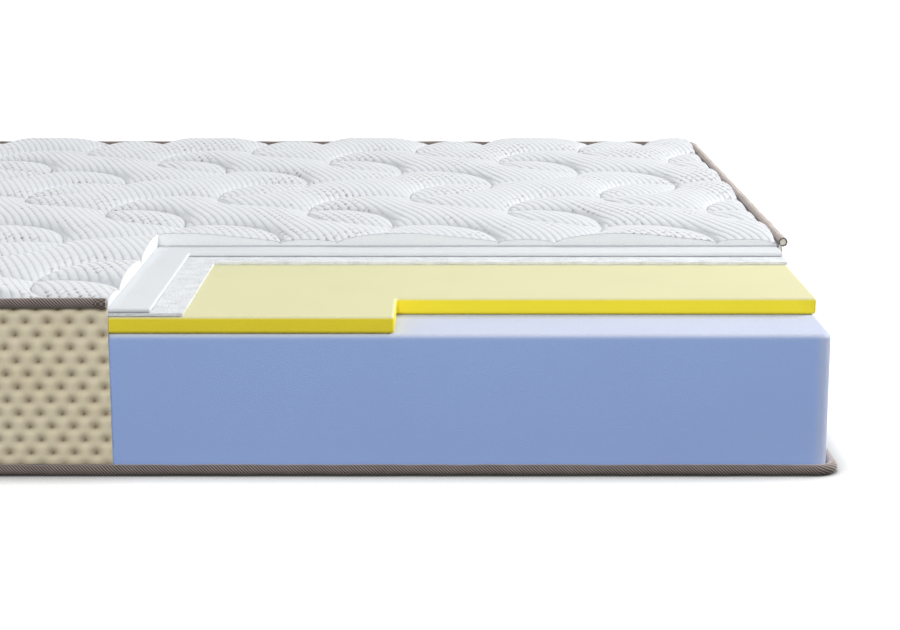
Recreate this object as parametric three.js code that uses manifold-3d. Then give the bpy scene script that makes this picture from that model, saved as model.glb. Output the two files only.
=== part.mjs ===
// A foam mattress shown as a cut-away display piece: one corner of its quilted cover is cut away in
// steps, so that every layer down to the core can be seen.
//
// Frame, in millimetres: +X along the length, towards the cut-away end. -Y is the front, the side
// that is cut away. +Z is up. The origin is on the floor under the middle of the mattress.
import * as THREE from "three";
import { mergeVertices } from "three/addons/utils/BufferGeometryUtils.js";
import Module from "manifold-3d";

const wasm = await Module();
wasm.setup();

// ---------------------------------------------------------------------------------------------
// Driving dimensions

// The mattress in plan, measured between the middles of the piping on opposite sides
const LENGTH = 2000;
const WIDTH = 1400;
// Vertical corners of the foam block; the cover follows them at its own distance
const FOAM_CORNER = 12;

// Gap between pieces that lie against each other, and at a seam between two border lengths
const GAP = 0.3;
const SEAM_GAP = 0.6;

// Thickness of each layer, from the floor up
const BOTTOM_FABRIC = 1.5;
const BOTTOM_PADDING = 6.5;
const BOTTOM_BACKING = 0.8;
const CORE = 152;
const MEMORY_FOAM = 20;
const FELT = 3.5;
const COMFORT_FOAM = 5;
const QUILT_BACKING = 0.8;
const QUILT_PADDING = 16.5;
const TOP_FABRIC = 0.9;

// Layers of the side border, from the foam outwards
const BORDER_BACKING = 0.7;
const BORDER_PADDING = 3.9;
const BORDER_FABRIC = 1.2;

// Piping: a woven tape rolled round a filler cord
const PIPING_RADIUS = 6;
const TAPE_WALL = 1.3;
const CORD_CLEARANCE = 0.4;
// Height of the top piping's middle above the underside of the quilted panel
const PIPING_ABOVE_QUILT = 2.5;
// The bottom piping is one closed round of tape, and its two ends meet behind the mattress
const TAPE_JOINT = 1;

// The cut-away corner: how far the cover is cut back from the right end and from the front, and
// how far each layer below shows beyond the one above it
const CUT_LENGTH = 819;
const CUT_DEPTH = 400;
const COMFORT_STEP = 47;
const FELT_STEP = 36;
// The memory foam is whole but for a notch along the front, which bares the top of the core
const NOTCH_LENGTH = 499;
const NOTCH_DEPTH = 110;

// Facets of a round corner and of the piping's section
const CORNER_STEPS = 4;
const TAPE_SIDES = 16;
const CORD_SIDES = 12;

// ---------------------------------------------------------------------------------------------
// Sizes worked out from the driving dimensions

// From the foam's side out to each layer of the border
const borderBackingIn = GAP;
const borderPaddingIn = borderBackingIn + BORDER_BACKING + GAP;
const borderFabricIn = borderPaddingIn + BORDER_PADDING + GAP;
const borderFabricOut = borderFabricIn + BORDER_FABRIC;

// The edge of the top fabric hangs between the padding and the piping, and the piping's middle
// stands just outside that edge and over the face of the border
const fabricEdgeIn = GAP;
const fabricEdgeOut = fabricEdgeIn + TOP_FABRIC;
const pipingOut = Math.max(fabricEdgeOut + GAP + PIPING_RADIUS, borderFabricOut);

// Half sizes of the foam block in plan
const foamX = LENGTH / 2 - pipingOut;
const foamY = WIDTH / 2 - pipingOut;

// Heights of the layers, each resting a gap above the one below
const heights = {};
let level = 0;
for (const [name, thickness] of Object.entries({
  bottom_fabric: BOTTOM_FABRIC,
  bottom_padding: BOTTOM_PADDING,
  bottom_backing: BOTTOM_BACKING,
  core_foam: CORE,
  memory_foam: MEMORY_FOAM,
  felt_pad: FELT,
  comfort_foam: COMFORT_FOAM,
  quilt_backing: QUILT_BACKING,
  quilt_padding: QUILT_PADDING,
  top_fabric: TOP_FABRIC,
})) {
  heights[name] = { bottom: level, top: level + thickness };
  level += thickness + GAP;
}

// Middles of the two rounds of piping
const bottomPipingZ = PIPING_RADIUS;
const topPipingZ = heights.quilt_backing.bottom + PIPING_ABOVE_QUILT;

// The two faces that each cut leaves, as the x and the y of the inner corner
const coverCut = { x: LENGTH / 2 - CUT_LENGTH, y: CUT_DEPTH - WIDTH / 2 };
const comfortCut = { x: coverCut.x + COMFORT_STEP, y: coverCut.y - COMFORT_STEP };
const feltCut = { x: comfortCut.x + FELT_STEP, y: comfortCut.y - FELT_STEP };
const notchCut = { x: LENGTH / 2 - NOTCH_LENGTH, y: NOTCH_DEPTH - WIDTH / 2 };

// ---------------------------------------------------------------------------------------------
// Materials

function finish(color, roughness) {
  return new THREE.MeshStandardMaterial({ color, roughness, metalness: 0 });
}

const materials = {
  coreFoam: finish(0x8ba2d2, 0.95),
  memoryFoam: finish(0xe3d94a, 0.9),
  felt: finish(0xe6e9ea, 1),
  whiteFoam: finish(0xf1f2f3, 0.9),
  backing: finish(0xc9ccce, 0.8),
  ticking: finish(0xe4e8ea, 0.85),
  borderKnit: finish(0xc9bd9f, 0.95),
  tape: finish(0x7d6c66, 0.8),
  cord: finish(0xe2ddcd, 0.95),
  baseFabric: finish(0xd8d5cc, 0.95),
};

// ---------------------------------------------------------------------------------------------
// Outlines in plan

// A rectangle with round corners, as much larger than the foam block as `out` says
function wholeOutline(out = 0) {
  const x = foamX + out;
  const y = foamY + out;
  const r = FOAM_CORNER + out;
  const outline = new THREE.Shape();
  outline.moveTo(-x + r, -y);
  outline.absarc(x - r, -y + r, r, -Math.PI / 2, 0);
  outline.absarc(x - r, y - r, r, 0, Math.PI / 2);
  outline.absarc(-x + r, y - r, r, Math.PI / 2, Math.PI);
  outline.absarc(-x + r, -y + r, r, Math.PI, 1.5 * Math.PI);
  return outline;
}

// The same rectangle without its front right corner
function cutOutline(cut, out = 0) {
  const x = foamX + out;
  const y = foamY + out;
  const r = FOAM_CORNER + out;
  const outline = new THREE.Shape();
  outline.moveTo(cut.x, -y);
  outline.lineTo(cut.x, cut.y);
  outline.lineTo(x, cut.y);
  outline.absarc(x - r, y - r, r, 0, Math.PI / 2);
  outline.absarc(-x + r, y - r, r, Math.PI / 2, Math.PI);
  outline.absarc(-x + r, -y + r, r, Math.PI, 1.5 * Math.PI);
  return outline;
}

// One length of border, seen from above: it runs along +x to the origin with its outer face on
// +y, and then turns right round the corner of the foam block, unless it stops at a cut
function borderOutline(inner, outer, length, turnsCorner) {
  const r = FOAM_CORNER;
  const outline = new THREE.Shape();
  outline.moveTo(-length, inner);
  outline.lineTo(-length, outer);
  if (turnsCorner) {
    outline.absarc(0, -r, r + outer, Math.PI / 2, 0, true);
    outline.lineTo(r + inner, -r);
    outline.absarc(0, -r, r + inner, 0, Math.PI / 2);
  } else {
    outline.lineTo(0, outer);
    outline.lineTo(0, inner);
  }
  return outline;
}

// ---------------------------------------------------------------------------------------------
// Solids

function slab(outline, thickness) {
  return new THREE.ExtrudeGeometry(outline, {
    depth: thickness,
    bevelEnabled: false,
    curveSegments: CORNER_STEPS,
  });
}

function toSolid(geometry) {
  const bare = geometry.index ? geometry.toNonIndexed() : geometry.clone();
  bare.deleteAttribute("normal");
  bare.deleteAttribute("uv");
  const merged = mergeVertices(bare, 1e-3);
  return new wasm.Manifold(
    new wasm.Mesh({
      numProp: 3,
      vertProperties: merged.attributes.position.array,
      triVerts: new Uint32Array(merged.index.array),
    }),
  );
}

function toGeometry(solid) {
  const mesh = solid.getMesh();
  return new THREE.BufferGeometry()
    .setAttribute("position", new THREE.BufferAttribute(mesh.vertProperties, 3))
    .setIndex(new THREE.BufferAttribute(mesh.triVerts, 1));
}

// The top fabric lies over the padding and hangs down its outer sides like a shallow lid, and it
// ends flush with the padding at the two cut faces. The hollow under it is cut out.
function topFabricGeometry() {
  const drop = QUILT_PADDING + GAP;
  const lid = toSolid(slab(cutOutline(coverCut, fabricEdgeOut), drop + TOP_FABRIC));
  const past = fabricEdgeOut;
  const hollowCut = { x: coverCut.x + past, y: coverCut.y - past };
  const hollow = toSolid(slab(cutOutline(hollowCut, fabricEdgeIn), drop + past).translate(0, 0, -past));
  return toGeometry(lid.subtract(hollow));
}

// ---------------------------------------------------------------------------------------------
// Piping

// A flat route of straight legs and round corners. Each leg takes whole steps of the parameter:
// one for a straight leg and CORNER_STEPS for a corner, so that long sides cost few facets.
class PipingRoute extends THREE.Curve {
  constructor(legs) {
    super();
    this.legs = legs;
    this.steps = legs.reduce((sum, leg) => sum + leg.steps, 0);
  }

  // The leg that holds parameter t, and how far along that leg it is, from 0 to 1
  find(t) {
    let left = t * this.steps;
    let at = 0;
    while (at < this.legs.length - 1 && left > this.legs[at].steps) {
      left -= this.legs[at].steps;
      at += 1;
    }
    return { leg: this.legs[at], share: left / this.legs[at].steps };
  }

  getPoint(t, target = new THREE.Vector3()) {
    const { leg, share } = this.find(t);
    return leg.point(share, target);
  }

  getTangent(t, target = new THREE.Vector3()) {
    const { leg, share } = this.find(t);
    return leg.tangent(share, target);
  }

  getUtoTmapping(u) {
    return u;
  }
}

function straightLeg(from, to) {
  return {
    steps: 1,
    point: (share, target) => target.lerpVectors(from, to, share),
    tangent: (share, target) => target.subVectors(to, from).normalize(),
  };
}

// A quarter turn to the right, seen from above, that starts at the angle `start`
function cornerLeg(x, y, radius, start) {
  const angle = (share) => start - (share * Math.PI) / 2;
  return {
    steps: CORNER_STEPS,
    point: (share, target) =>
      target.set(x + radius * Math.cos(angle(share)), y + radius * Math.sin(angle(share)), 0),
    tangent: (share, target) => target.set(Math.sin(angle(share)), -Math.cos(angle(share)), 0),
  };
}

// The corners that the piping goes round, in order from the front: each has its middle and the
// angle at which the route meets it
const pipingCornerRadius = FOAM_CORNER + pipingOut;
const pipingCorners = {
  frontLeft: { x: -foamX + FOAM_CORNER, y: -foamY + FOAM_CORNER, start: -Math.PI / 2 },
  backLeft: { x: -foamX + FOAM_CORNER, y: foamY - FOAM_CORNER, start: Math.PI },
  backRight: { x: foamX - FOAM_CORNER, y: foamY - FOAM_CORNER, start: Math.PI / 2 },
  frontRight: { x: foamX - FOAM_CORNER, y: -foamY + FOAM_CORNER, start: 0 },
};

// A route from one point, round the named corners, to another
function routeRound(from, names, to) {
  const legs = [];
  let here = from;
  for (const name of names) {
    const { x, y, start } = pipingCorners[name];
    const turn = cornerLeg(x, y, pipingCornerRadius, start);
    legs.push(straightLeg(here, turn.point(0, new THREE.Vector3())), turn);
    here = turn.point(1, new THREE.Vector3());
  }
  legs.push(straightLeg(here, to));
  return new PipingRoute(legs);
}

function circle(radius, sides) {
  const points = [];
  for (let i = 0; i < sides; i += 1) {
    const angle = (2 * Math.PI * i) / sides;
    points.push(new THREE.Vector2(radius * Math.cos(angle), radius * Math.sin(angle)));
  }
  return points;
}

function tapeGeometry(route) {
  const section = new THREE.Shape(circle(PIPING_RADIUS, TAPE_SIDES));
  section.holes.push(new THREE.Path(circle(PIPING_RADIUS - TAPE_WALL, TAPE_SIDES)));
  return new THREE.ExtrudeGeometry(section, { steps: route.steps, extrudePath: route });
}

function cordGeometry(route) {
  const radius = PIPING_RADIUS - TAPE_WALL - CORD_CLEARANCE;
  const section = new THREE.Shape(circle(radius, CORD_SIDES));
  return new THREE.ExtrudeGeometry(section, { steps: route.steps, extrudePath: route });
}

// The top piping stops at the two cut faces
const topRoute = routeRound(
  new THREE.Vector3(coverCut.x, -WIDTH / 2, 0),
  ["frontLeft", "backLeft", "backRight"],
  new THREE.Vector3(LENGTH / 2, coverCut.y, 0),
);

// The bottom piping goes all the way round, from one end of its tape to the other
const bottomRoute = routeRound(
  new THREE.Vector3(TAPE_JOINT / 2, WIDTH / 2, 0),
  ["backRight", "frontRight", "frontLeft", "backLeft"],
  new THREE.Vector3(-TAPE_JOINT / 2, WIDTH / 2, 0),
);

// ---------------------------------------------------------------------------------------------
// The mattress

const mattress = new THREE.Group();

function add(name, geometry, material, z) {
  const mesh = new THREE.Mesh(geometry, material);
  mesh.name = name;
  mesh.position.z = z;
  mattress.add(mesh);
  return mesh;
}

function addLayer(name, outline, material) {
  const { bottom, top } = heights[name];
  add(name, slab(outline, top - bottom), material, bottom);
}

// Bottom panel, which lies on the floor inside the bottom piping
addLayer("bottom_fabric", wholeOutline(), materials.baseFabric);
addLayer("bottom_padding", wholeOutline(), materials.whiteFoam);
addLayer("bottom_backing", wholeOutline(), materials.backing);

// Foam and felt layers
addLayer("core_foam", wholeOutline(), materials.coreFoam);
addLayer("memory_foam", cutOutline(notchCut), materials.memoryFoam);
addLayer("felt_pad", cutOutline(feltCut), materials.felt);
addLayer("comfort_foam", cutOutline(comfortCut), materials.whiteFoam);

// Quilted top panel
addLayer("quilt_backing", cutOutline(coverCut), materials.backing);
addLayer("quilt_padding", cutOutline(coverCut), materials.whiteFoam);
add("top_fabric", topFabricGeometry(), materials.ticking, heights.quilt_padding.bottom);

// Piping round the top and bottom edges
add("top_piping_tape", tapeGeometry(topRoute), materials.tape, topPipingZ);
add("top_piping_cord", cordGeometry(topRoute), materials.cord, topPipingZ);
add("bottom_piping_tape", tapeGeometry(bottomRoute), materials.tape, bottomPipingZ);
add("bottom_piping_cord", cordGeometry(bottomRoute), materials.cord, bottomPipingZ);

// Side border: four lengths, each sewn from three layers. A length starts at the seam that the one
// before it ends on, runs along its side and turns the corner; the first and last stop at the cut.
const straightX = 2 * (foamX - FOAM_CORNER);
const straightY = 2 * (foamY - FOAM_CORNER);
const borderSides = [
  {
    side: "front",
    x: -foamX + FOAM_CORNER,
    y: -foamY,
    turn: Math.PI,
    length: coverCut.x + foamX - FOAM_CORNER,
    turnsCorner: true,
  },
  {
    side: "left",
    x: -foamX,
    y: foamY - FOAM_CORNER,
    turn: Math.PI / 2,
    length: straightY - SEAM_GAP,
    turnsCorner: true,
  },
  {
    side: "back",
    x: foamX - FOAM_CORNER,
    y: foamY,
    turn: 0,
    length: straightX - SEAM_GAP,
    turnsCorner: true,
  },
  {
    side: "right",
    x: foamX,
    y: coverCut.y,
    turn: -Math.PI / 2,
    length: foamY - FOAM_CORNER - coverCut.y - SEAM_GAP,
    turnsCorner: false,
  },
];
const borderLayers = [
  { name: "fabric", inner: borderFabricIn, depth: BORDER_FABRIC, material: materials.borderKnit },
  { name: "padding", inner: borderPaddingIn, depth: BORDER_PADDING, material: materials.whiteFoam },
  { name: "backing", inner: borderBackingIn, depth: BORDER_BACKING, material: materials.backing },
];
const borderBottom = bottomPipingZ + PIPING_RADIUS + GAP;
const borderTop = topPipingZ - PIPING_RADIUS - GAP;

for (const { side, x, y, turn, length, turnsCorner } of borderSides) {
  for (const { name, inner, depth, material } of borderLayers) {
    const outline = borderOutline(inner, inner + depth, length, turnsCorner);
    const panel = add(
      `${side}_border_${name}`,
      slab(outline, borderTop - borderBottom),
      material,
      borderBottom,
    );
    panel.position.x = x;
    panel.position.y = y;
    panel.rotation.z = turn;
  }
}

export default mattress;
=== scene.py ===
# %% [markdown]
# # A foam mattress with one corner cut open
# The object is a bed mattress made up as a shop sample: the quilted cover, the
# side borders and the upper sheets are cut back in steps at one corner, so that
# every layer inside shows. Nearly all of it is soft, so nearly every packed
# solid is replaced here by a piece with the swell, the dimples and the weave of
# the real one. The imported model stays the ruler: sizes are read from it.

# %% The frame
import math

import bmesh
import bpy
import numpy as np
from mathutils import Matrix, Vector
from mathutils.geometry import delaunay_2d_cdt
from mathutils.kdtree import KDTree


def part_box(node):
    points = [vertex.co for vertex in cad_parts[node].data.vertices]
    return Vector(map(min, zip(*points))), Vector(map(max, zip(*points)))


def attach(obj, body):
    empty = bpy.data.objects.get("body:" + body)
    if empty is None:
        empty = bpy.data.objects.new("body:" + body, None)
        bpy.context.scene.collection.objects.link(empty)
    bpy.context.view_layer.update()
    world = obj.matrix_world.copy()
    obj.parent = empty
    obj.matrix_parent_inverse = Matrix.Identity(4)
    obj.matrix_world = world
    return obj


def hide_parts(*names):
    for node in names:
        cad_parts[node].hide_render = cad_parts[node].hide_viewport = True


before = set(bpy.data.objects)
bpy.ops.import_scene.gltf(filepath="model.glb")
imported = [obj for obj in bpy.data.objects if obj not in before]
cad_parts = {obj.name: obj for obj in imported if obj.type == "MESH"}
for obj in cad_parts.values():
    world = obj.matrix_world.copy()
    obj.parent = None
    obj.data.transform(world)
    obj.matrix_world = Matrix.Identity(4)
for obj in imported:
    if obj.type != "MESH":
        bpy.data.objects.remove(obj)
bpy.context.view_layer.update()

MM = 0.001
BODY = "root"


# %% [markdown]
# ## The view and the room
# The mattress is seen from a standing height, from in front of its cut corner,
# through a short telephoto lens, so its far edge looks almost as long as the
# near one. The lens isn't shifted: a little tilt does the same work and leaves
# every other view centred. The room is a white sweep. The strongest softbox
# stands low at the right end and rakes the quilting, one in front lights the cut
# foam, and a weak one behind keeps the far sides out of the dark.

# %% Camera and lights
eye = bpy.data.objects.new("camera", bpy.data.cameras.new("camera"))
bpy.context.scene.collection.objects.link(eye)
eye.location = (0.5634, -2.8676, 0.6537)
CAMERA_TILT = math.radians(12.19)
eye.rotation_euler = (math.pi / 2 - CAMERA_TILT, 0, 0)
eye.data.sensor_width = 36
eye.data.lens = 79.55
eye.data.clip_end = 100
bpy.context.scene.camera = eye
bpy.context.scene.view_settings.view_transform = "Standard"


def soft_light(name, place, aim, size, power):
    """A square softbox at place, turned to face aim."""
    lamp = bpy.data.lights.new(name, "AREA")
    lamp.size, lamp.energy = size, power
    box = bpy.data.objects.new(name, lamp)
    box.location = place
    box.rotation_euler = (Vector(aim) - Vector(place)).to_track_quat("-Z", "Y").to_euler()
    bpy.context.scene.collection.objects.link(box)


soft_light("key_light", (3.9, 0.6, 2.0), (0.3, 0, 0.1), 1.5, 142)
soft_light("front_light", (0.5, -3.4, 1.9), (0.4, -0.4, 0.1), 1.6, 58)
soft_light("back_light", (-3.0, 2.8, 2.2), (0, 0, 0.1), 2.0, 52)
print("camera and lights in place")


# %% [markdown]
# ## Shader maths in plain Python
# Each finish is a small network of nodes. A wire stands for one output socket,
# and arithmetic on wires adds Math nodes, so a weave can be written down as a
# formula. A recipe holds one material, and its `node` method adds anything that
# isn't plain arithmetic: first its settings, then its sockets.

# %% Wires and recipes
class Wire:
    """One output socket that takes part in sums."""

    def __init__(self, recipe, socket):
        self.recipe, self.socket = recipe, socket

    def _sum(self, operation, first, second):
        return self.recipe.node(
            "ShaderNodeMath", {"operation": operation}, {0: first, 1: second}
        )

    def __add__(self, other):
        return self._sum("ADD", self, other)

    def __radd__(self, other):
        return self._sum("ADD", other, self)

    def __sub__(self, other):
        return self._sum("SUBTRACT", self, other)

    def __rsub__(self, other):
        return self._sum("SUBTRACT", other, self)

    def __mul__(self, other):
        return self._sum("MULTIPLY", self, other)

    def __rmul__(self, other):
        return self._sum("MULTIPLY", other, self)

    def __pow__(self, other):
        return self._sum("POWER", self, other)

    def __gt__(self, other):
        return self._sum("GREATER_THAN", self, other)

    def __lt__(self, other):
        return self._sum("LESS_THAN", self, other)


class Recipe:
    """One material, with the coordinates that its patterns follow."""

    def __init__(self, name, **finish):
        self.material = bpy.data.materials.new(name)
        self.material.use_nodes = True
        self.nodes = self.material.node_tree.nodes
        self.links = self.material.node_tree.links
        self.shader = self.nodes["Principled BSDF"]
        for socket, value in finish.items():
            self.shader.inputs[socket.replace("_", " ")].default_value = value

    def node(self, kind, settings=None, sockets=None, out=0):
        made = self.nodes.new(kind)
        for key, value in (settings or {}).items():
            if key == "stops":
                ramp = made.color_ramp.elements
                for index, (place, colour) in enumerate(value):
                    stop = ramp[index] if index < 2 else ramp.new(place)
                    stop.position, stop.color = place, (*colour, 1)
            else:
                setattr(made, key, value)
        for key, value in (sockets or {}).items():
            self.plug(value, made.inputs[key])
        return Wire(self, made.outputs[out])

    def plug(self, value, socket):
        if isinstance(value, Wire):
            self.links.new(value.socket, socket)
        elif socket.type == "RGBA" and len(value) == 3:
            socket.default_value = (*value, 1)
        else:
            socket.default_value = value

    def place(self):
        """Object coordinates, in metres."""
        return self.node("ShaderNodeTexCoord", out=3)

    def axes(self, vector):
        split = self.node("ShaderNodeSeparateXYZ", {}, {0: vector})
        node = split.socket.node
        return [Wire(self, node.outputs[axis]) for axis in range(3)]

    def noise(self, vector, scale, detail=2.0, roughness=0.5):
        return self.node(
            "ShaderNodeTexNoise", {},
            {"Vector": vector, "Scale": scale, "Detail": detail, "Roughness": roughness},
        )

    def stretched(self, vector, scale, turn=(0, 0, 0)):
        return self.node(
            "ShaderNodeMapping", {}, {"Vector": vector, "Rotation": turn, "Scale": scale}
        )

    def sine(self, value):
        return self.node("ShaderNodeMath", {"operation": "SINE"}, {0: value})

    def round_ribs(self, value, pitch):
        """Rounded ridges with narrow grooves between them, from 0 to 1."""
        wave = self.sine(value * (math.pi / pitch))
        return self.node("ShaderNodeMath", {"operation": "ABSOLUTE"}, {0: wave}) ** 0.7

    def ramp(self, value, stops):
        return self.node("ShaderNodeValToRGB", {"stops": stops}, {"Fac": value})

    def between(self, value, low, high):
        """0 below low, 1 above high, smooth between."""
        return self.node(
            "ShaderNodeMapRange", {"interpolation_type": "SMOOTHSTEP"},
            {"Value": value, "From Min": low, "From Max": high},
        )

    def mix(self, amount, first, second, blend="MIX"):
        return self.node(
            "ShaderNodeMix", {"data_type": "RGBA", "blend_type": blend},
            {0: amount, 6: first, 7: second}, out=2,
        )

    def finish(self, colour, height, depth):
        """The finished material: its colour, and a relief that is depth metres deep."""
        self.plug(colour, self.shader.inputs["Base Color"])
        bump = self.node("ShaderNodeBump", {}, {"Distance": depth, "Height": height})
        self.links.new(bump.socket, self.shader.inputs["Normal"])
        return self.material


def srgb(*values):
    """A screen colour from 0 to 255 as the linear light that shaders use."""
    return tuple(
        v / 255 / 12.92 if v <= 10 else ((v / 255 + 0.055) / 1.055) ** 2.4 for v in values
    )


print("shader helpers ready")


# %% [markdown]
# ## The white room
# The floor and the backdrop only have to disappear: they look white to the
# camera, and lend the mattress a gentler light than a real white room would, so
# that its front stays darker than its top. The floor glows by itself, but less
# where something stands close over it, which leaves a thin shadow of contact.

# %% Room
def two_faced(tree, seen, lent):
    """Background light that looks brighter than it shines."""
    path = tree.nodes.new("ShaderNodeLightPath")
    mix = tree.nodes.new("ShaderNodeMix")
    tree.links.new(path.outputs["Is Camera Ray"], mix.inputs[0])
    mix.inputs[2].default_value, mix.inputs[3].default_value = lent, seen
    return mix.outputs[0]


world = bpy.data.worlds.new("white_room")
bpy.context.scene.world = world
world.use_nodes = True
sky = world.node_tree.nodes["Background"]
sky.inputs["Color"].default_value = (0.97, 0.99, 1, 1)
world.node_tree.links.new(two_faced(world.node_tree, 1.06, 0.42), sky.inputs["Strength"])

bpy.ops.object.select_all(action="DESELECT")
bpy.ops.mesh.primitive_plane_add(size=9, location=(0, 0, -0.0005))
floor = bpy.context.object
floor.name = "floor"
bpy.ops.object.transform_apply(location=True, rotation=True, scale=True)
paper = Recipe("paper_floor", Roughness=0.9, Emission_Strength=1.05)
seen = paper.node("ShaderNodeLightPath")
openness = paper.node("ShaderNodeAmbientOcclusion", {"samples": 8}, {"Distance": 0.06}, out=1)
glow = (openness * 1.7 - 0.72) * seen
paper.plug(paper.mix(glow, (0, 0, 0), (1, 1, 1)), paper.shader.inputs["Emission Color"])
paper.plug(paper.mix(seen, (0.05, 0.05, 0.05), (0.2, 0.2, 0.2)), paper.shader.inputs["Base Color"])
floor.data.materials.append(paper.material)
print("room ready")


# %% [markdown]
# ## Foams
# Polyurethane foam is a fine open sponge. Where it was cut it looks matt and
# evenly coloured. Faces that look up, a band along the top edge and the upright
# corners are mixed towards a paler colour: painted sheen, the white gleam of the
# foam at grazing angles. The pores are too small to model, so they are a fine
# noise in the colour and the surface.

# %% Foam finishes
def foam_finish(name, node, face, painted_sheen_colour, rim=10 * MM, pores=900, mottle=0.06):
    paint = Recipe(name, Roughness=0.9)
    place = paint.place()
    up = paint.axes(paint.node("ShaderNodeNewGeometry", out=1))[2]
    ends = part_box(node)[1]
    corner = 1.0
    for axis, end in zip(paint.axes(place)[:2], ends):
        off_middle = paint.node("ShaderNodeMath", {"operation": "ABSOLUTE"}, {0: axis})
        corner = corner * paint.between(off_middle, end - rim, end)
    top = paint.between(paint.axes(place)[2], ends[2] - rim / 2, ends[2])
    # Painted sheen: faces that look up, the upright corners and the top edge are mixed towards the
    # paler second colour.
    painted_sheen_share = paint.between(up, 0.15, 0.95) + corner * 0.9 + top * 0.35
    body = paint.mix(painted_sheen_share, face, painted_sheen_colour)
    cells = paint.noise(place, pores, 3, 0.6)
    cloud = paint.noise(place, 9, 3)
    shade = 1 - mottle + cells * mottle + cloud * mottle
    grey = paint.node("ShaderNodeCombineColor", {}, {0: shade, 1: shade, 2: shade})
    return paint.finish(
        colour=paint.mix(1.0, body, grey, "MULTIPLY"),
        height=cells, depth=0.0006,
    )


core_blue = foam_finish(
    "core_foam_blue", "core_foam", srgb(160, 186, 239), srgb(203, 210, 232), rim=20 * MM)
memory_yellow = foam_finish(
    "memory_foam_yellow", "memory_foam", srgb(243, 224, 50), srgb(226, 222, 177), rim=9 * MM)
comfort_white = foam_finish(
    "comfort_foam_white", "comfort_foam", srgb(222, 225, 228), srgb(222, 225, 228),
    pores=600, mottle=0.04)
print("foam finishes ready")


# %% [markdown]
# ## Foam blocks and sheets
# Every inner layer was cut from a flat bun of foam, so each starts as a plane of
# its own size, has its cut corner bisected off, is extruded to its thickness,
# and gets its upright corners and then all its edges rounded a little.

# %% Slabs
def deselect():
    bpy.ops.object.select_all(action="DESELECT")


def span(node):
    low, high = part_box(node)
    return np.array(low), np.array(high)


def adopt(piece, material, slot, *nodes):
    """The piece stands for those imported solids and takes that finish."""
    piece.data.materials.clear()
    piece.data.materials.append(material)
    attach(piece, BODY)
    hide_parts(*nodes)
    print(piece.name, len(piece.data.polygons), "faces")
    return piece


def pick(piece, kind, test):
    """Selects the faces or edges of the piece whose middle and direction pass the test."""
    bpy.context.tool_settings.mesh_select_mode = (False, kind == "edges", kind == "faces")
    mesh = bmesh.from_edit_mesh(piece.data)
    for part in [*mesh.verts, *mesh.edges, *mesh.faces]:
        part.select = False
    for part in getattr(mesh, kind):
        corners = [v.co for v in part.verts]
        middle = sum(corners, Vector()) / len(corners)
        line = part.normal if kind == "faces" else (corners[1] - corners[0]).normalized()
        if test(part, middle, line):
            part.select_set(True)
    mesh.select_flush_mode()
    bmesh.update_edit_mesh(piece.data)


def slab(name, low, high, notch=None, corner=0.0, soft=0.0, steps=3, square_base=False):
    """A flat piece from low to high; notch is where its front right corner is cut off."""
    deselect()
    middle, size = (low + high) / 2, high - low
    bpy.ops.mesh.primitive_plane_add(size=1, location=(middle[0], middle[1], low[2]))
    piece = bpy.context.object
    piece.name = name
    piece.scale = (size[0], size[1], 1)
    bpy.ops.object.transform_apply(location=True, rotation=True, scale=True)
    bpy.ops.object.mode_set(mode="EDIT")
    if notch is not None:
        for point, normal in (((notch[0], 0, 0), (1, 0, 0)), ((0, notch[1], 0), (0, 1, 0))):
            bpy.ops.mesh.select_all(action="SELECT")
            bpy.ops.mesh.bisect(plane_co=point, plane_no=normal)
        pick(piece, "faces", lambda face, m, n: m.x > notch[0] and m.y < notch[1])
        bpy.ops.mesh.delete(type="FACE")
    bpy.ops.mesh.select_all(action="SELECT")
    bpy.ops.mesh.extrude_region_move(TRANSFORM_OT_translate={"value": (0, 0, size[2])})
    bpy.ops.mesh.select_all(action="SELECT")
    bpy.ops.mesh.normals_make_consistent(inside=False)

    def outer_corner(edge, m, line):
        at_x = min(abs(m.x - low[0]), abs(m.x - high[0])) < 1e-5
        at_y = min(abs(m.y - low[1]), abs(m.y - high[1])) < 1e-5
        return abs(line.z) > 0.9 and at_x and at_y

    def edge_to_soften(edge, m, line):
        kept_square = square_base and m.z < low[2] + 1e-5
        return len(edge.link_faces) == 2 and edge.calc_face_angle() > 0.9 and not kept_square
    if corner:
        pick(piece, "edges", outer_corner)
        bpy.ops.mesh.bevel(offset=corner, segments=6)
    if soft:
        pick(piece, "edges", edge_to_soften)
        bpy.ops.mesh.bevel(offset=soft, segments=steps)
    bpy.ops.object.mode_set(mode="OBJECT")
    bpy.ops.object.shade_smooth_by_angle(angle=math.radians(40))
    if soft:
        flat_faces = piece.modifiers.new("flat_faces", "WEIGHTED_NORMAL")
        flat_faces.keep_sharp = True
        bpy.ops.object.modifier_apply(modifier=flat_faces.name)
    return piece


foam_low, foam_high = span("core_foam")
FOAM_CORNER = 12 * MM
core = slab(
    "core_foam_block", foam_low, foam_high, corner=FOAM_CORNER, soft=6 * MM, steps=5,
    square_base=True,
)
adopt(core, core_blue, "core_foam", "core_foam")
print("core done")

# %% [markdown]
# The memory foam lies on the core and has a second, smaller step cut into its
# front right corner. Above it come the fibre pad and the thin comfort foam, each
# cut back a little further than the sheet below.

# %% Memory foam and comfort foam
memory_low, memory_high = span("memory_foam")
NOTCH = (0.501, -0.590)
memory = slab("memory_foam_slab", memory_low, memory_high, NOTCH, FOAM_CORNER, 4 * MM, 4)
adopt(memory, memory_yellow, "memory_foam", "memory_foam")

COVER_CUT = (0.181, -0.300)
COMFORT_CUT = (0.228, -0.347)
FELT_CUT = (0.264, -0.383)
comfort_low, comfort_high = span("comfort_foam")
comfort = slab("comfort_foam_sheet", comfort_low, comfort_high, COMFORT_CUT, FOAM_CORNER, 2 * MM, 3)
adopt(comfort, comfort_white, "comfort_foam", "comfort_foam")


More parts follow.
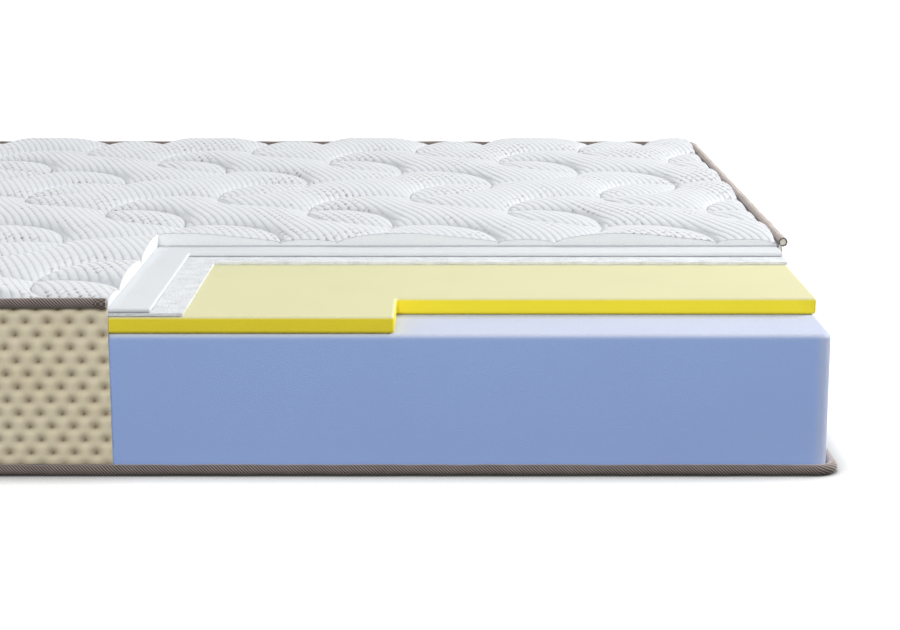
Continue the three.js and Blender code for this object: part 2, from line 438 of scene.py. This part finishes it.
# %% [markdown]
# ## The fibre pad
# Under the comfort foam lies a needled pad of grey and white waste fibre. It was
# torn rather than cut, so its edge is frayed: the two cut edges are divided
# finely and each point is pushed about, the lower ones further than the upper.

# %% Fibre pad
def ruffle(piece, test, amount, seed):
    """Pushes the points that pass the test sideways, each by its own amount."""
    dice = np.random.default_rng(seed)
    for point in piece.data.vertices:
        if test(point.co):
            reach = amount(point.co)
            point.co.x += reach * dice.uniform(-1, 1)
            point.co.y += reach * dice.uniform(-1, 1)


felt_low, felt_high = span("felt_pad")
felt = slab("felt_pad_sheet", felt_low, felt_high, FELT_CUT, FOAM_CORNER)
bpy.ops.object.mode_set(mode="EDIT")
pick(felt, "edges", lambda edge, m, line: abs(line.z) < 0.1 and (
    (abs(m.y - FELT_CUT[1]) < 1e-4 and m.x > FELT_CUT[0])
    or (abs(m.x - FELT_CUT[0]) < 1e-4 and m.y < FELT_CUT[1])))
bpy.ops.mesh.subdivide(number_cuts=240)
bpy.ops.object.mode_set(mode="OBJECT")
ruffle(
    felt,
    lambda p: (abs(p.y - FELT_CUT[1]) < 1e-4 and FELT_CUT[0] < p.x < felt_high[0] - 1e-4)
    or (abs(p.x - FELT_CUT[0]) < 1e-4 and felt_low[1] + 1e-4 < p.y < FELT_CUT[1]),
    lambda p: 1.1 * MM if p.z < felt_low[2] + 1e-4 else 0.4 * MM,
    seed=3,
)


def felt_finish():
    paint = Recipe("needled_felt", Roughness=0.95)
    place = paint.place()
    hairs = paint.noise(paint.stretched(place, (420, 90, 420), (0, 0, 0.5)), 1, 4, 0.7)
    cross = paint.noise(paint.stretched(place, (90, 420, 420), (0, 0, 0.4)), 1, 4, 0.7)
    tuft = paint.noise(place, 55, 5, 0.65)
    shade = paint.ramp(
        hairs * 0.3 + cross * 0.3 + tuft * 0.5,
        [(0.36, srgb(196, 200, 205)), (0.48, srgb(222, 225, 228)), (0.6, srgb(238, 240, 242))],
    )
    return paint.finish(colour=shade, height=hairs + cross + tuft, depth=0.0012)


adopt(felt, felt_finish(), "felt", "felt_pad")


# %% [markdown]
# ## Where things run round the mattress
# The piping and the borders all follow one line: a rectangle with rounded
# corners, the side of the foam. `Track` turns a distance along that line, and a
# distance outside it, into a place. It starts at the middle of the front and
# runs to the right, so a strip laid along it faces outwards.

# %% The track round the foam
class Track:
    def __init__(self, half_length, half_width, corner):
        self.flat = np.array([half_length - corner, half_width - corner])
        self.corner, self.arc = corner, corner * math.pi / 2
        self.stops = np.cumsum([
            self.flat[0], self.arc, 2 * self.flat[1], self.arc, 2 * self.flat[0],
            self.arc, 2 * self.flat[1], self.arc, self.flat[0],
        ])
        self.round = self.stops[-1]

    def front(self, x):
        return x

    def right(self, y):
        return self.stops[1] + y + self.flat[1]

    def back(self, x):
        return self.stops[3] + self.flat[0] - x

    def left(self, y):
        return self.stops[5] + self.flat[1] - y

    def at(self, s, out):
        """Places for distances s along the line and out from it."""
        s = np.mod(s, self.round)
        leg = np.searchsorted(self.stops, s, side="right").clip(0, 8)
        run = s - np.concatenate([[0], self.stops])[leg]
        quarter = leg // 2
        curved = leg % 2 == 1
        angle = -math.pi / 2 + quarter * math.pi / 2 + np.where(curved, run / self.corner, 0)
        fx, fy = self.flat
        legs = np.array([
            (0, -fy), (fx, -fy), (fx, -fy), (fx, fy), (fx, fy),
            (-fx, fy), (-fx, fy), (-fx, -fy), (-fx, -fy),
        ])[leg]
        ahead = np.where(curved, 0, run)
        reach = self.corner + out
        return np.stack([
            legs[:, 0] - np.sin(angle) * ahead + np.cos(angle) * reach,
            legs[:, 1] + np.cos(angle) * ahead + np.sin(angle) * reach,
        ], 1)


track = Track(foam_high[0], foam_high[1], FOAM_CORNER)
print("round the foam is", round(track.round, 3), "m")


def strip(name, start, end, step, rows, lay):
    """A flat strip of cloth; lay(s, t) gives its places, t running from 0 to 1 across it."""
    deselect()
    columns = max(2, round((end - start) / step))
    bpy.ops.mesh.primitive_grid_add(x_subdivisions=columns, y_subdivisions=rows, size=1)
    piece = bpy.context.object
    piece.name = name
    flat = np.zeros(len(piece.data.vertices) * 3)
    piece.data.vertices.foreach_get("co", flat)
    flat = flat.reshape(-1, 3)
    along = start + (flat[:, 0] + 0.5) * (end - start)
    piece.data.vertices.foreach_set("co", lay(along, flat[:, 1] + 0.5).ravel())
    threads = np.zeros(len(piece.data.loops) * 2)
    cloth = piece.data.uv_layers.active
    cloth.data.foreach_get("uv", threads)
    threads = threads.reshape(-1, 2)
    threads[:, 0] = start + threads[:, 0] * (end - start)
    cloth.data.foreach_set("uv", threads.ravel())
    piece.data.update()
    return piece


def thicken(piece, thickness, inner=None):
    """Gives the cloth its thickness, inwards, or fills it back to the inner places."""
    wall = piece.modifiers.new("thickness", "SOLIDIFY")
    wall.thickness, wall.offset, wall.use_rim = thickness, -1, True
    bpy.ops.object.modifier_apply(modifier=wall.name)
    if inner is not None:
        points = np.zeros(len(piece.data.vertices) * 3)
        piece.data.vertices.foreach_get("co", points)
        points = points.reshape(-1, 3)
        points[len(points) // 2:] = inner
        piece.data.vertices.foreach_set("co", points.ravel())
        piece.data.update()
    bpy.ops.object.shade_smooth_by_angle(angle=math.radians(60))
    return piece


def on_track(s, out, height):
    return np.column_stack([track.at(s, out), height + 0 * s])


# %% [markdown]
# ## Piping
# Each seam between a panel and the borders is covered by piping: a soft cord in
# a bias-cut twill tape. The tape is a grid rolled into a tube along the track,
# with its seam merged; a slow wobble keeps it from looking like extruded
# plastic. The twill is drawn on the cloth's own map: one coordinate runs along
# the tube and the other round it. The front end of the top tape is sewn shut, and
# a short length there is darned across the twill. The top piping sits a little
# above its packed place.

# %% Tape, cord and their finishes
PIPE_RADIUS = 6 * MM
TAPE_WALL = 1.3 * MM
PIPE_STEP = 5 * MM
JOINT = 0.5 * MM
TOP_PIPE_LIFT = (2.6 * MM, 5.0 * MM)
TWILL_PITCH = 3.8 * MM
TACK_LENGTH = 14 * MM
TACK_STITCH = 4 * MM
TACK_IN_FRONT_OF = -0.69
TACK_ABOVE = 0.1


def wobble(s, seed, size):
    """A slow, seeded waver along s, with the same value at both ends of a full round."""
    dice = np.random.default_rng(seed)
    turns = 2 * math.pi * s / track.round
    return size * sum(
        np.sin(turns * k + dice.uniform(0, 2 * math.pi)) / 6
        for k in dice.integers(20, 130, 14)
    )


def tube(name, node, start, end, radius, seed, wall=None, sides=20, lift=(0, 0),
         sewn_shut=False):
    """A tube round the mattress in the place of node."""
    low, high = span(node)
    middle_out = high[0] - track.flat[0] - FOAM_CORNER - (high[2] - low[2]) / 2
    middle_up = (low[2] + high[2]) / 2

    def roll(s, t):
        angle = 2 * math.pi * t
        swell = radius + wobble(s, seed + 2, 0.25 * MM)
        if sewn_shut:
            swell = np.where(s > end - 0.5 * PIPE_STEP, 0.2 * MM, swell)
            s = np.where(np.abs(s - end + PIPE_STEP) < 0.5 * PIPE_STEP, end - 0.6 * MM, s)
        return on_track(
            s,
            middle_out + wobble(s, seed, 0.3 * MM) + swell * np.cos(angle),
            middle_up + np.interp(s, (start, end), lift) + wobble(s, seed + 1, 0.3 * MM)
            + swell * np.sin(angle),
        )
    piece = strip(name, start, end, PIPE_STEP, sides, roll)
    bpy.ops.object.mode_set(mode="EDIT")
    bpy.ops.mesh.select_all(action="SELECT")
    bpy.ops.mesh.remove_doubles(threshold=1e-5)
    if wall is None:
        bpy.ops.mesh.fill_holes(sides=sides)
    bpy.ops.object.mode_set(mode="OBJECT")
    if wall is None:
        bpy.ops.object.shade_smooth_by_angle(angle=math.radians(60))
        return piece
    return thicken(piece, wall)


def tape_finish():
    paint = Recipe("twill_tape", Roughness=0.75, Sheen_Weight=0.7, Sheen_Roughness=0.35)
    paint.shader.inputs["Sheen Tint"].default_value = (0.9, 0.8, 0.75, 1)
    along, across, _ = paint.axes(paint.node("ShaderNodeTexCoord", out=2))
    girth = 2 * math.pi * PIPE_RADIUS
    around = across * girth
    rib = paint.sine((along + around) * (2 * math.pi / TWILL_PITCH)) * 0.5 + 0.5
    pick_thread = paint.sine((along - around) * (4 * math.pi / TWILL_PITCH)) * 0.5 + 0.5
    worn = paint.noise(paint.place(), 60, 3)
    x, y, z = paint.axes(paint.place())
    tack = (x > COVER_CUT[0] - TACK_LENGTH) * (y < TACK_IN_FRONT_OF) * (z > TACK_ABOVE)
    darning = paint.sine(along * (2 * math.pi / TACK_STITCH)) * paint.sine(
        around * (2 * math.pi / TACK_STITCH)) * 0.4 + 0.45
    weave = (rib * 0.8 + pick_thread * 0.2) * (1 - tack) + darning * tack
    shade = paint.ramp(
        weave * 0.85 + worn * 0.2,
        [(0.1, srgb(52, 44, 40)), (0.55, srgb(104, 92, 87)), (0.95, srgb(174, 161, 155))],
    )
    # Painted sheen: where the tape is seen at a grazing angle, on faces that look up, its colour is
    # mixed towards pale beige.
    up = paint.axes(paint.node("ShaderNodeNewGeometry", out=1))[2]
    painted_grazing_sheen = paint.node("ShaderNodeLayerWeight", {}, {"Blend": 0.5}, out=1) ** 3
    painted_grazing_sheen = painted_grazing_sheen * paint.between(up, -0.2, 0.5)
    return paint.finish(
        colour=paint.mix(painted_grazing_sheen * 0.8, shade, srgb(226, 214, 206)), height=weave, depth=0.0006)


def cord_finish():
    paint = Recipe("soft_filler", Roughness=0.95)
    fluff = paint.noise(paint.place(), 700, 4, 0.7)
    shade = paint.ramp(fluff, [(0.3, srgb(206, 198, 186)), (0.7, srgb(240, 236, 228))])
    return paint.finish(colour=shade, height=fluff, depth=0.0006)


tape_brown, filler_white = tape_finish(), cord_finish()
runs = {
    "top_piping": (track.right(COVER_CUT[1]), track.round + track.front(COVER_CUT[0])),
    "bottom_piping": (track.back(-JOINT), track.round + track.back(JOINT)),
}
for number, (seam, (start, end)) in enumerate(runs.items()):
    lift = TOP_PIPE_LIFT if seam == "top_piping" else (0, 0)
    tape = tube(
        seam + "_tape_twill", seam + "_tape", start, end, PIPE_RADIUS, 10 * number,
        TAPE_WALL, lift=lift, sewn_shut=seam == "top_piping",
    )
    adopt(tape, tape_brown, "piping_tape", seam + "_tape")
    cord_low, cord_high = span(seam + "_cord")
    filler = tube(
        seam + "_cord_filler", seam + "_cord", start + 0.6 * MM, end - 4 * MM,
        (cord_high[2] - cord_low[2]) / 2 - 0.2 * MM, 10 * number, sides=12, lift=lift,
    )
    adopt(filler, filler_white, "piping_cord", seam + "_cord")
    end - start


# %% [markdown]
# ## The side borders
# The sides are a beige knit quilted at points, so it is covered in small
# dimples, in rows that are staggered like bricks. Each border is laid out flat
# as a fine grid whose lines fall on the dimples, is pressed in there, and is
# then wrapped round its corner. Its upper and lower edges turn in under the
# piping. The cloth goes one grid row higher than the first dimples need, which
# closes the gap below the raised piping but presses into the tape.

# %% Border cloth
DIMPLE_PITCH = 24.6 * MM
DIMPLE_ROW = 15.2 * MM
FIRST_ROW_DOWN = 11.4 * MM
DIMPLE_SIZE = 5.0 * MM
DIMPLE_DEPTH = 4.9 * MM
KNIT_THICK = 1.2 * MM
WADDING_GAP = 0.5 * MM
KNIT_STITCH = 1.3 * MM
ACROSS, UP = 8, 5


def border(side, start, end):
    low, high = span(side + "_border_fabric")
    outer = {"front": -low[1], "back": high[1], "left": -low[0], "right": high[0]}[side]
    reach = outer - (foam_high[1] if side in ("front", "back") else foam_high[0])
    columns = round((end - start) / DIMPLE_PITCH * ACROSS)
    step = (end - start) / columns
    first_row = high[2] - FIRST_ROW_DOWN
    rows = UP + 1 + round((first_row - low[2]) / DIMPLE_ROW * UP)
    top = first_row + DIMPLE_ROW * (UP + 1) / UP
    bottom = top - rows * DIMPLE_ROW / UP

    def pull(s, z, shade_lean=1.0):
        """How far the cloth is pulled in, from 0 to 1; a lean above 1 draws it out upwards, which
        only the painted shade in the dimples uses.
        """
        pulled = np.zeros_like(s)
        row = (first_row - z) / DIMPLE_ROW
        for near in (np.floor(row), np.floor(row) + 1):
            shift = np.where(np.mod(near, 2) == 0, 0.0, 0.5)
            column = (s - end + 6 * step) / (ACROSS * step) - shift
            across = (column - np.round(column)) * DIMPLE_PITCH
            below = (row - near) * DIMPLE_ROW
            far = np.hypot(across / 1.25, np.where(below > 0, below * shade_lean, below / shade_lean))
            pulled = np.maximum(pulled, np.exp(-((far / DIMPLE_SIZE) ** 1.2)))
        return pulled

    def swell(s, t, under=0.0):
        """The quilted cloth, or with under, the wadding that much behind it."""
        z = bottom + t * (top - bottom)
        tuck = np.clip(np.minimum(t, 1 - t) * (top - bottom) / (9 * MM), 0, 1)
        edge = 1 - (1 - tuck) ** 2
        pressed = 2.0 * MM * (1 - edge) + DIMPLE_DEPTH * pull(s, z) * edge
        return on_track(s, reach + 1.0 * MM * edge - pressed - under, z)
    s = np.tile(np.linspace(start, end, columns + 1), rows + 1)
    t = np.repeat(np.linspace(0, 1, rows + 1), columns + 1)

    cloth = strip(side + "_border_knit", start, end, step, rows, swell)
    # The pull, drawn out upwards, is stored on the points as painted shade for the dimples.
    painted_dimple_shade = cloth.data.attributes.new("stitch", "FLOAT", "POINT")
    painted_dimple_shade.data.foreach_set(
        "value", pull(s, bottom + t * (top - bottom), shade_lean=1.5).astype(np.float32))
    thicken(cloth, KNIT_THICK)
    adopt(cloth, border_beige, "border_knit", side + "_border_fabric")
    end - start

    wadding = strip(
        side + "_border_wadding", start, end, step, rows,
        lambda s, t: swell(s, t, KNIT_THICK + WADDING_GAP))
    behind = on_track(s, 1.3 * MM, low[2] + t * (high[2] - low[2]))
    thicken(wadding, 1 * MM, behind)
    adopt(wadding, wadding_white, "wadding", side + "_border_padding")

    back = strip(
        side + "_border_backcloth", start, end, 4 * MM, 12,
        lambda s, t: on_track(s, 1.0 * MM, low[2] + t * (high[2] - low[2])))
    thicken(back, 0.7 * MM)
    adopt(back, backing_white, "backing", side + "_border_backing")
    end - start


def border_finish():
    paint = Recipe("border_knit_beige", Roughness=0.85, Sheen_Weight=0.2, Sheen_Roughness=0.5)
    place = paint.place()
    grain = paint.noise(place, 1500, 3, 0.6)
    cloud = paint.noise(place, 25, 3)
    x, y, z = paint.axes(place)
    turns = 2 * math.pi / KNIT_STITCH
    stitch = paint.sine(z * turns) * paint.sine((x + y) * turns)
    cloth = paint.ramp(
        grain * 0.55 + cloud * 0.25 + stitch * 0.08 + 0.1,
        [(0.3, srgb(241, 225, 188)), (0.7, srgb(255, 246, 219))],
    )
    # Painted shade: the knit is mixed towards dark brown in each dimple, reaching further above it
    # than below, as under light from above.
    pulled = paint.node("ShaderNodeAttribute", {"attribute_name": "stitch"}, out=2)
    shade = paint.mix(pulled ** 1.5 * 0.9, cloth, srgb(108, 82, 42))
    return paint.finish(colour=shade, height=grain + stitch * 0.4, depth=0.0004)


def fibre_finish(name, light, dark, scale):
    paint = Recipe(name, Roughness=0.95)
    place = paint.place()
    hairs = paint.noise(paint.stretched(place, (1, 1, 4)), scale, 4, 0.7)
    shade = paint.ramp(hairs, [(0.3, dark), (0.65, light)])
    return paint.finish(colour=shade, height=hairs, depth=0.001)


border_beige = border_finish()
wadding_white = fibre_finish("polyester_wadding", srgb(244, 246, 247), srgb(230, 233, 235), 260)
backing_white = fibre_finish("spunbond_backing", srgb(244, 245, 246), srgb(228, 230, 233), 500)

front_end = span("front_border_fabric")[1][1]
left_low, left_high = span("left_border_fabric")
back_low = span("back_border_fabric")[0]
right_low, right_high = span("right_border_fabric")
border("front", track.left(front_end) - track.round, track.front(COVER_CUT[0]))
border("right", track.right(right_low[1]), track.right(right_high[1]))
border("back", track.right(back_low[1]), track.back(back_low[0]))
border("left", track.back(left_high[0]), track.left(left_low[1]))

# %% [markdown]
# ## The quilting lines
# The cover is quilted by a row of needles that all swing together, so each
# thread is a rounded wave that runs from front to back. A second pass, half a
# pitch across and a quarter of a wave along, crosses the first and closes the
# pockets: wide leaning ones, with small lens shapes between them.

# %% Waves
WAVE_PITCH = 285.6 * MM
WAVE_LENGTH = 516 * MM
WAVE_SWING = 134 * MM
WAVE_ROUNDING = 40 * MM
WAVE_START = np.array([66, -307]) * MM
SECOND_PASS = np.array([142.8, -139]) * MM
STITCH_STEP = 4.8 * MM


def evenly(points, step):
    """The same line with its points step apart."""
    gaps = np.hypot(*np.diff(points, axis=0).T)
    run = np.concatenate([[0], np.cumsum(gaps)])
    marks = np.linspace(0, run[-1], max(2, round(run[-1] / step)) + 1)
    return np.column_stack([np.interp(marks, run, points[:, axis]) for axis in (0, 1)])


def quilting_line(second, number):
    turn = np.linspace(-5 * math.pi, 5 * math.pi, 4000)
    x = number * WAVE_PITCH + WAVE_SWING * np.sin(turn)
    y = WAVE_LENGTH * turn / (2 * math.pi) - WAVE_ROUNDING * np.sin(2 * turn)
    start = WAVE_START + (SECOND_PASS if second else 0)
    return evenly(np.column_stack([x, y]) + start, STITCH_STEP)


# %% [markdown]
# ## One net for the whole panel
# A plain grid would turn each curved seam into a staircase. So the net is a
# triangulation that has the seams, the outline and the cut as its own edges,
# with two rows of points close beside each seam, where the cloth turns down
# steeply, and a wide even scatter over the pillows.

# %% The net
PANEL_OUT = 1.0 * MM
ROWS_BESIDE_SEAM = (2.4 * MM, 6.2 * MM)
SCATTER = 11 * MM


def chain(points, closed=False):
    """The edges that join points in order, as pairs of numbers from 0."""
    count = len(points)
    return [(k, (k + 1) % count) for k in range(count if closed else count - 1)]


class Net:
    def __init__(self):
        self.points, self.edges, self.seam_edges = [], [], set()

    def line(self, points, closed=False, seam=False):
        start = len(self.points)
        for a, b in chain(points, closed):
            if seam:
                self.seam_edges.add(len(self.edges))
            self.edges.append((start + a, start + b))
        self.points += [tuple(p) for p in points]


def nearest(points, cloud):
    """Distance from each of points to the nearest point of cloud."""
    tree = KDTree(len(cloud))
    for number, (x, y) in enumerate(cloud):
        tree.insert((x, y, 0), number)
    tree.balance()
    return np.array([tree.find((x, y, 0))[2] for x, y in points])


quilt_low = span("quilt_padding")[0]
outline = track.at(np.arange(0, track.round, 6 * MM), PANEL_OUT)
reach_x, reach_y = foam_high[0] + PANEL_OUT, foam_high[1] + PANEL_OUT


def inside(points, margin):
    return (np.abs(points[:, 0]) < reach_x - margin) & (np.abs(points[:, 1]) < reach_y - margin)


net = Net()
net.line(outline, closed=True)
net.line(evenly(np.array([(COVER_CUT[0], -reach_y), COVER_CUT, (reach_x, COVER_CUT[1])]), 5 * MM))
seams, beside = [], []
for second in (False, True):
    for number in range(-5, 6):
        line = quilting_line(second, number)
        kept = inside(line, 1e-4)
        for run in np.split(np.arange(len(line)), np.flatnonzero(np.diff(kept.astype(int))) + 1):
            if kept[run[0]] and len(run) > 2:
                part = line[run]
                net.line(part, seam=True)
                seams.append(part)
                ahead = np.gradient(part, axis=0)
                side = np.column_stack([-ahead[:, 1], ahead[:, 0]])
                side /= np.hypot(*side.T)[:, None]
                beside += [part + side * way * gap for gap in ROWS_BESIDE_SEAM for way in (-1, 1)]
seam_points = np.concatenate(seams)
beside = np.concatenate(beside)
beside = beside[inside(beside, 3 * MM)]
beside = beside[nearest(beside, seam_points) > 2.2 * MM]
beside = beside[nearest(beside, outline) > 2.5 * MM]
rows = np.arange(-reach_y, reach_y, SCATTER * 0.87)
scatter = np.array([
    (x + SCATTER / 2 * (number % 2), y)
    for number, y in enumerate(rows) for x in np.arange(-reach_x, reach_x, SCATTER)
])
scatter = scatter[inside(scatter, 4 * MM)]
scatter = scatter[nearest(scatter, np.concatenate([seam_points, beside])) > 5.4 * MM]
net.points += [tuple(p) for p in np.concatenate([beside, scatter])]
made = delaunay_2d_cdt([Vector(p) for p in net.points], net.edges, [], 0, 1e-6)
flat = np.array([tuple(p) for p in made[0]])
triangles = np.array(made[2])
on_seam = np.zeros(len(flat), bool)
for edge, sources in zip(made[1], made[4]):
    if any(source in net.seam_edges for source in sources):
        on_seam[list(edge)] = True
on_outline = nearest(flat, outline) < 0.05 * MM
print("net:", len(flat), "points,", len(triangles), "triangles")


# %% [markdown]
# ## The swell of the pillows
# Wadding pushes the cloth up evenly and the seams hold it down, which is how a
# soap film swells on a wire: the height solves Poisson's equation on the net.
# Conjugate gradients find it in a few hundred cheap steps. A film is too flat at
# its edge for cloth over wadding, so the height is raised to a power, which
# leaves the crowns broad and the seams sharp. Near the edge the cloth comes down
# again, and its pillows hang a little way out over the piping.

# %% Swell
def film(points, faces, held):
    """Height of a film that is blown up evenly and held at some of its points."""
    a, b, c = (points[faces[:, k]] for k in range(3))
    doubled = (b[:, 0] - a[:, 0]) * (c[:, 1] - a[:, 1]) - (b[:, 1] - a[:, 1]) * (c[:, 0] - a[:, 0])
    doubled = np.abs(doubled).clip(1e-12)
    ends, weights = [], []
    for k in range(3):
        here, one, two = (points[faces[:, (k + turn) % 3]] for turn in range(3))
        cot = ((one - here) * (two - here)).sum(1) / doubled
        ends.append(faces[:, [(k + 1) % 3, (k + 2) % 3]])
        weights.append(cot / 2)
    ends, weights = np.concatenate(ends), np.concatenate(weights)
    count = len(points)
    diagonal = np.bincount(ends.ravel(), np.repeat(weights, 2), count)
    load = np.bincount(faces.ravel(), np.repeat(doubled / 6, 3), count)
    free = ~held

    def pull(height):
        push = np.bincount(ends[:, 0], weights * height[ends[:, 1]], count)
        push += np.bincount(ends[:, 1], weights * height[ends[:, 0]], count)
        return (diagonal * height - push) * free
    height = np.zeros(count)
    left = load * free
    scale = np.where(diagonal > 1e-9, diagonal, 1)
    step = left / scale
    way = step.copy()
    size = left @ step
    for _ in range(400):
        pulled = pull(way)
        amount = size / (way @ pulled)
        height += amount * way
        left = left - amount * pulled
        step = left / scale
        new_size = left @ step
        if new_size < 1e-12 * len(points) * 1e-9:
            break
        way = step + way * (new_size / size)
        size = new_size
    return height


held = film(flat, triangles, on_seam | on_outline)
loose = film(flat, triangles, on_seam)
blown = np.clip(loose / np.percentile(held, 99.5), 0, 1.15)
SEAM_UP = 3.0 * MM
PILLOW = 15.8 * MM
EDGE_DROP = 2.5 * MM
EDGE_REACH = 18 * MM
OVERHANG = 3.2 * MM
seam_level = quilt_low[2] + SEAM_UP
from_edge = np.minimum(
    reach_x - np.abs(flat[:, 0]), reach_y - np.abs(flat[:, 1])).clip(0, EDGE_REACH)
near_edge = 1 - from_edge / EDGE_REACH
drop = EDGE_DROP * near_edge ** 2
rise = PILLOW * blown ** 0.5 * np.sqrt(1 - near_edge ** 2)
bulge = OVERHANG * np.sin(math.pi * near_edge) ** 2 * blown ** 0.5
spread = flat.copy()
for axis, reach in enumerate((reach_x, reach_y)):
    close = (reach - np.abs(flat[:, axis])) < from_edge + 1e-6
    spread[:, axis] += np.where(close, np.sign(flat[:, axis]) * bulge, 0)
print("pillows rise", round(float(rise.max() / MM), 1), "mm")


# %% [markdown]
# ## Cover and wadding
# The knit cover and the wadding share the net. The corner that was cut off is
# left out only now, so that the pillows at the cut stand open, as they were when
# the knife went through them.

# %% Quilted cover
def keep_uncut(points, faces):
    middle = points[faces].mean(1)
    return faces[~((middle[:, 0] > COVER_CUT[0]) & (middle[:, 1] < COVER_CUT[1]))]


kept_faces = keep_uncut(flat, triangles)
used = np.unique(kept_faces)
renumber = np.full(len(flat), -1)
renumber[used] = np.arange(len(used))
panel_faces = renumber[kept_faces]
panel = spread[used]


def draw_mesh(name, points, faces):
    mesh = bpy.data.meshes.new(name)
    mesh.from_pydata(points, [], faces)
    mesh.update()
    piece = bpy.data.objects.new(name, mesh)
    bpy.context.scene.collection.objects.link(piece)
    deselect()
    piece.select_set(True)
    bpy.context.view_layer.objects.active = piece
    return piece


RIB_PITCH = 10.4 * MM
DASH_PITCH = 15 * MM
LOOP_PITCH = 2.6 * MM
COVER_THICK = 0.9 * MM


def ticking_finish():
    paint = Recipe("knit_ticking", Roughness=0.75, Sheen_Weight=0.5, Sheen_Roughness=0.5)
    place = paint.place()
    slant = math.radians(21)
    x, y, _ = paint.axes(place)
    across = x * math.cos(slant) + y * math.sin(slant)
    along = y * math.cos(slant) - x * math.sin(slant)
    waver = paint.noise(place, 14, 2) * 0.004
    rib = paint.round_ribs(across + waver, RIB_PITCH)
    crossing = paint.round_ribs(along * 0.8 - across * 0.6 + waver, RIB_PITCH * 1.3)
    knit = paint.sine(along * (2 * math.pi / LOOP_PITCH)) * paint.sine(
        across * (8 * math.pi / RIB_PITCH))
    patch = paint.between(paint.noise(place, 11, 3, 0.6), 0.5, 0.62)
    def dashes(groove, run):
        broken = paint.sine(run * (2 * math.pi / DASH_PITCH) + waver * 900)
        return paint.between(groove, 0.3, 0.75) * paint.between(broken, 0.15, 0.6)
    flecks = dashes(1 - rib, along) + dashes(1 - crossing, across) * 0.8
    # Painted shade: the grooves between the ribs and the crossing ribs are a darker blue-grey than
    # the crowns.
    base_with_painted_groove_shade = paint.mix(
        rib ** 0.6 * (0.8 + crossing * 0.2), srgb(192, 199, 206), srgb(217, 219, 222))
    shade = paint.mix(patch * flecks * 0.62, base_with_painted_groove_shade, srgb(128, 98, 104))
    height = rib + crossing * 0.35 + knit * 0.1 + paint.noise(place, 900, 2) * 0.15
    return paint.finish(colour=shade, height=height, depth=0.0011)


cover_up = (seam_level + rise - drop)[used]
cover = draw_mesh("quilted_knit_cover", np.column_stack([panel, cover_up]), panel_faces)
thicken(cover, COVER_THICK)
adopt(cover, ticking_finish(), "ticking", "top_fabric")

PADDING_UNDER = 1.1 * MM
padding_up = np.maximum(cover_up - PADDING_UNDER, quilt_low[2] + 0.3 * MM)
padding_at = panel * np.where(on_outline[used], 0.9985, 1)[:, None]
padding = draw_mesh("quilt_wadding", np.column_stack([padding_at, padding_up]), panel_faces)
bpy.ops.object.mode_set(mode="EDIT")
bpy.ops.mesh.select_all(action="SELECT")
bpy.ops.mesh.region_to_loop()
bpy.ops.mesh.extrude_region_move(TRANSFORM_OT_translate={"value": (0, 0, -0.05)})
bpy.ops.mesh.edge_face_add()
bpy.ops.object.mode_set(mode="OBJECT")
for point in padding.data.vertices:
    if point.co.z < quilt_low[2]:
        point.co.z = quilt_low[2]
bpy.ops.object.shade_smooth_by_angle(angle=math.radians(50))
adopt(padding, wadding_white, "wadding", "quilt_padding")

backing_low, backing_high = span("quilt_backing")
quilt_back = slab("quilt_backcloth", backing_low, backing_high, COVER_CUT, FOAM_CORNER)
adopt(quilt_back, backing_white, "backing", "quilt_backing")


# %% [markdown]
# ## The bottom panel
# Underneath, the same piping joins a plain woven panel with thin wadding and a
# backing cloth above it. Little of it is ever seen, but a mattress is turned.

# %% Bottom panel
def weave_finish():
    paint = Recipe("woven_base", Roughness=0.85)
    place = paint.place()
    x, y, _ = paint.axes(place)
    warp = paint.sine(x * (2 * math.pi / (1.6 * MM)))
    weft = paint.sine(y * (2 * math.pi / (1.6 * MM)))
    grain = paint.noise(place, 40, 4)
    shade = paint.ramp(
        warp * weft * 0.2 + grain * 0.6 + 0.2,
        [(0.3, srgb(198, 190, 174)), (0.7, srgb(226, 220, 206))],
    )
    return paint.finish(colour=shade, height=warp * weft, depth=0.0004)


base_woven = weave_finish()
for node, name, finish, slot, form in (
    ("bottom_fabric", "bottom_woven_cloth", base_woven, "base_fabric", "sheet"),
    ("bottom_padding", "bottom_wadding", wadding_white, "wadding", "padded"),
    ("bottom_backing", "bottom_backcloth", backing_white, "backing", "sheet"),
):
    low, high = span(node)
    layer = slab(name, low, high, corner=FOAM_CORNER)
    adopt(layer, finish, slot, node)
